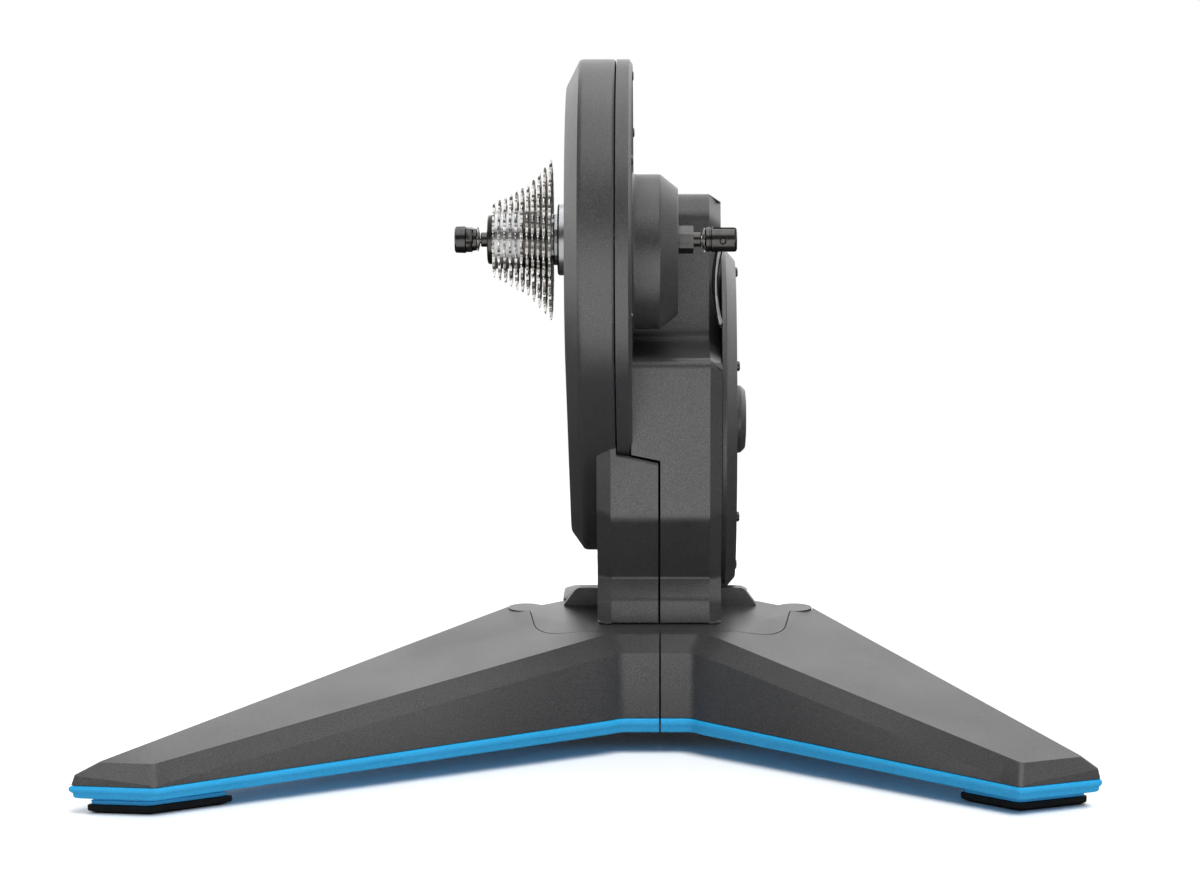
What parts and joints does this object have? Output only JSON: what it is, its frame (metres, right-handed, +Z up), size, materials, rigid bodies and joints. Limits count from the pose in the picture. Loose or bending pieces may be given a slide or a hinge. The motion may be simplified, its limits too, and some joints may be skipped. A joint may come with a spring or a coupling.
{
  "type": "direct drive bike trainer",
  "caption": "Indoor bike trainer: a cassette and quick release on a through axle drive a belt and flywheel in a slim tower on two folding front legs and a rear beam.",
  "frame": {"origin": "on the floor, under the middle of the bounding box", "axes": "+Z up, +X across the bicycle towards the quick-release lever, +Y towards the rear of the bicycle"},
  "size_m": [0.6532, 0.621, 0.4594],
  "materials": {
    "charcoal_plastic": "fine matte grain",
    "blue_plastic": "smooth satin",
    "rubber": "matte",
    "black_steel": "satin black",
    "steel": "brushed",
    "aluminium": "machined",
    "dark_chrome": "polished dark",
    "iron": "painted casting",
    "board_green": "lacquered",
    "copper": "wound copper"
  },
  "bodies": {
    "base": {"through_axle": "steel", "skewer_spring_drive": "steel", "skewer_spring_far": "steel", "freehub_bearing_1": "steel", "freehub_bearing_2": "steel", "hub_bearing_1": "steel", "hub_bearing_2": "steel", "shaft_bearing_1": "steel", "shaft_bearing_2": "steel", "left_pivot_pin": "steel", "right_pivot_pin": "steel", "axle_end_drive": "black_steel", "axle_end_far": "black_steel", "brake_stator": "copper", "circuit_board": "board_green", "left_body_cover": "charcoal_plastic", "belt_case_back": "charcoal_plastic", "tower_right_shell": "charcoal_plastic", "axle_boss": "charcoal_plastic", "flywheel_cover": "charcoal_plastic", "flywheel_cap": "charcoal_plastic", "base_saddle": "charcoal_plastic", "rear_beam": "charcoal_plastic", "rear_tray": "blue_plastic", "poly_v_belt": "rubber", "rear_pad_left": "rubber", "rear_pad_right": "rubber", "power_inlet": "rubber"},
    "left_leg": {"left_leg_shell": "charcoal_plastic", "left_leg_pan": "blue_plastic", "left_foot": "rubber", "left_leg_beam": "iron"},
    "right_leg": {"right_leg_shell": "charcoal_plastic", "right_leg_pan": "blue_plastic", "right_foot": "rubber", "right_leg_beam": "iron"},
    "cassette": {"freehub_body": "aluminium", "cassette_lockring": "black_steel", "sprocket_01": "steel", "sprocket_02": "steel", "sprocket_03": "steel", "sprocket_04": "steel", "sprocket_05": "steel", "sprocket_06": "steel", "sprocket_07": "steel", "sprocket_08": "steel", "sprocket_09": "steel", "sprocket_10": "steel", "sprocket_11": "steel"},
    "drive_pulley": {"drive_pulley": "aluminium", "pulley_hub": "aluminium"},
    "flywheel": {"flywheel": "iron", "flywheel_shaft": "steel"},
    "idler_arm": {"idler_arm": "iron"},
    "idler_pulley": {"idler_pulley": "steel"},
    "skewer": {"skewer_rod": "steel", "lever_cam_housing": "black_steel", "lever_pin": "steel"},
    "lever": {"quick_release_lever": "dark_chrome"},
    "skewer_nut": {"skewer_nut": "black_steel"}
  },
  "joints": [
    {"name": "left_leg_fold", "type": "hinge", "parent": "base", "child": "left_leg", "pos_m": [-0.04598, -0.05733, 0.04], "axis": [0, 0, 1], "range_deg": [-126, 0]},
    {"name": "right_leg_fold", "type": "hinge", "parent": "base", "child": "right_leg", "pos_m": [0.13802, -0.05733, 0.04], "axis": [0, 0, 1], "range_deg": [0, 133]},
    {"name": "flywheel_spin", "type": "hinge", "parent": "base", "child": "flywheel", "pos_m": [0.05982, 0.00567, 0.2], "axis": [1, 0, 0], "continuous": true},
    {"name": "pulley_spin", "type": "hinge", "parent": "base", "child": "drive_pulley", "pos_m": [-0.00018, -0.11433, 0.341], "axis": [1, 0, 0], "continuous": true},
    {"name": "cassette_spin", "type": "hinge", "parent": "base", "child": "cassette", "pos_m": [-0.04518, -0.11433, 0.341], "axis": [1, 0, 0], "continuous": true},
    {"name": "idler_swing", "type": "hinge", "parent": "base", "child": "idler_arm", "pos_m": [0.00982, -0.03724, 0.18408], "axis": [1, 0, 0], "range_deg": [0, 15], "stiffness_Nm_per_rad": 1, "springref_deg": -17.19},
    {"name": "idler_spin", "type": "hinge", "parent": "idler_arm", "child": "idler_pulley", "pos_m": [-0.00018, -0.07571, 0.20094], "axis": [1, 0, 0], "continuous": true},
    {"name": "skewer_turn", "type": "hinge", "parent": "base", "child": "skewer", "pos_m": [-0.00018, -0.11433, 0.341], "axis": [1, 0, 0], "continuous": true},
    {"name": "lever_throw", "type": "hinge", "parent": "skewer", "child": "lever", "pos_m": [0.08742, -0.11433, 0.341], "axis": [0, -1, 0], "range_deg": [0, 175]},
    {"name": "nut_turn", "type": "hinge", "parent": "base", "child": "skewer_nut", "pos_m": [-0.08018, -0.11433, 0.341], "axis": [1, 0, 0], "continuous": true}
  ],
  "couplings": [
    {"joint": "pulley_spin", "follows": "flywheel_spin", "ratio": 0.15625},
    {"joint": "idler_spin", "follows": "flywheel_spin", "ratio": -1.1538}
  ]
}
